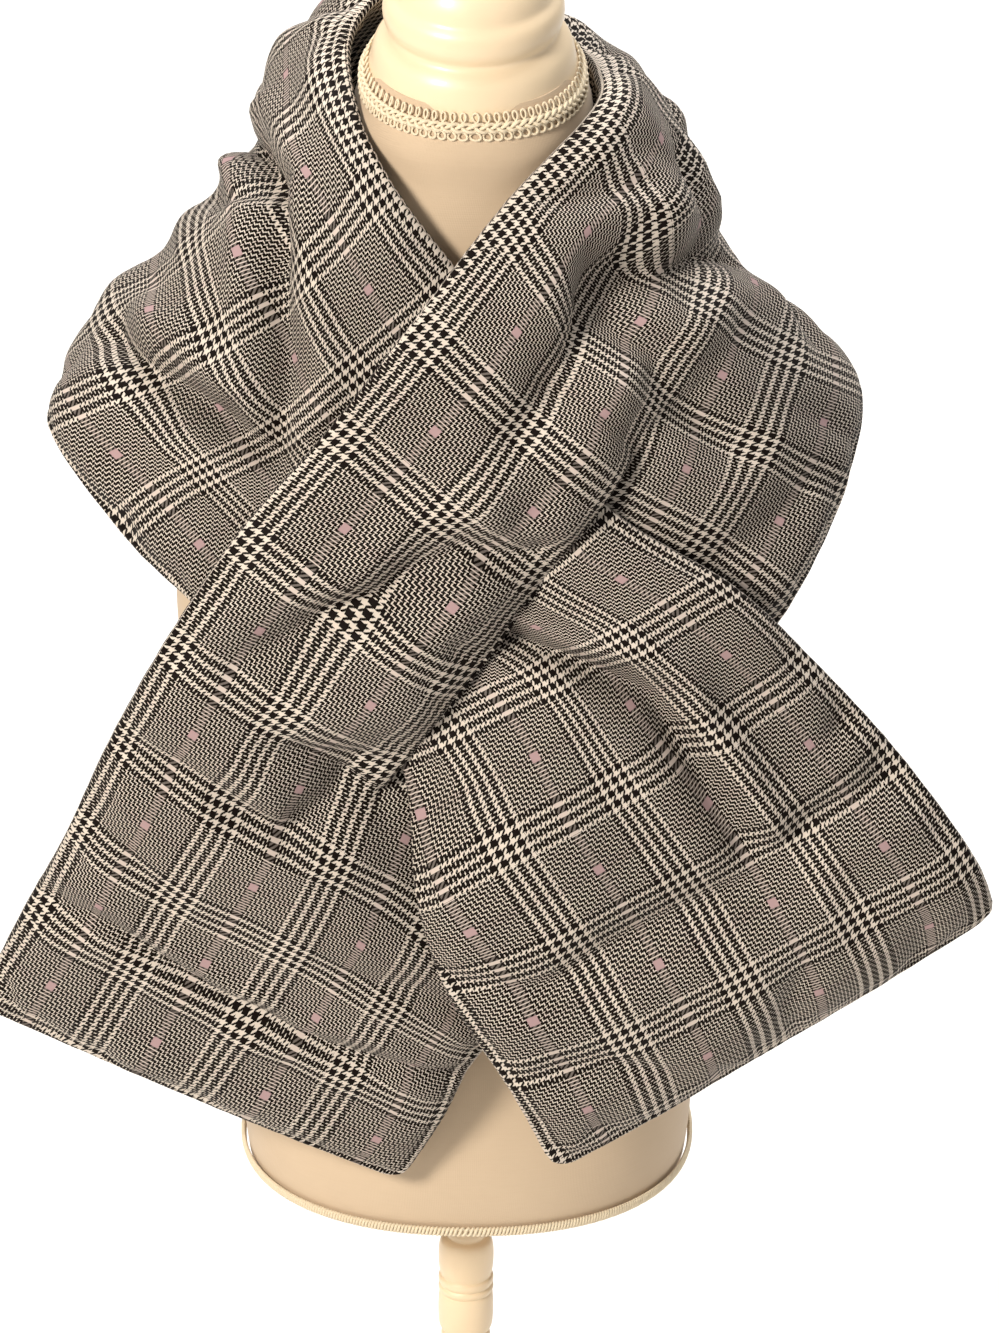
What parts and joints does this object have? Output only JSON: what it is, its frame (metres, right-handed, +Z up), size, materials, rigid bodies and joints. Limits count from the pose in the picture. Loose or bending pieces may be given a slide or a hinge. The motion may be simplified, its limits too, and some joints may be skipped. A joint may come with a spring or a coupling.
{
  "type": "padded pull-through check scarf on a limbless dress form with a turned post and round foot",
  "caption": "Padded check scarf crossed at the chest and pulled through its own slit, worn by a linen-covered limbless dress form on a turned post and round foot.",
  "frame": {"origin": "centre of the foot's flat underside", "axes": "+Z up the post, -Y out of the chest towards the viewer, +X to the viewer's right"},
  "size_m": [0.5077, 0.2945, 0.9471],
  "materials": {
    "scarf_cloth": "twill check in black, cream and pale pink with a soft sheen, over wadding",
    "linen": "plain linen stretched over a hard shell",
    "braid": "cream looped gimp braid",
    "white_wood": "turned wood under warm white satin paint"
  },
  "bodies": {
    "root": {"scarf_collar": "scarf_cloth", "scarf_left_front": "scarf_cloth", "scarf_right_front": "scarf_cloth", "scarf_through_tail": "scarf_cloth", "torso": "linen", "neck_braid": "braid", "hem_braid": "braid", "neck_cap": "white_wood", "post": "white_wood", "base": "white_wood"}
  },
  "joints": []
}
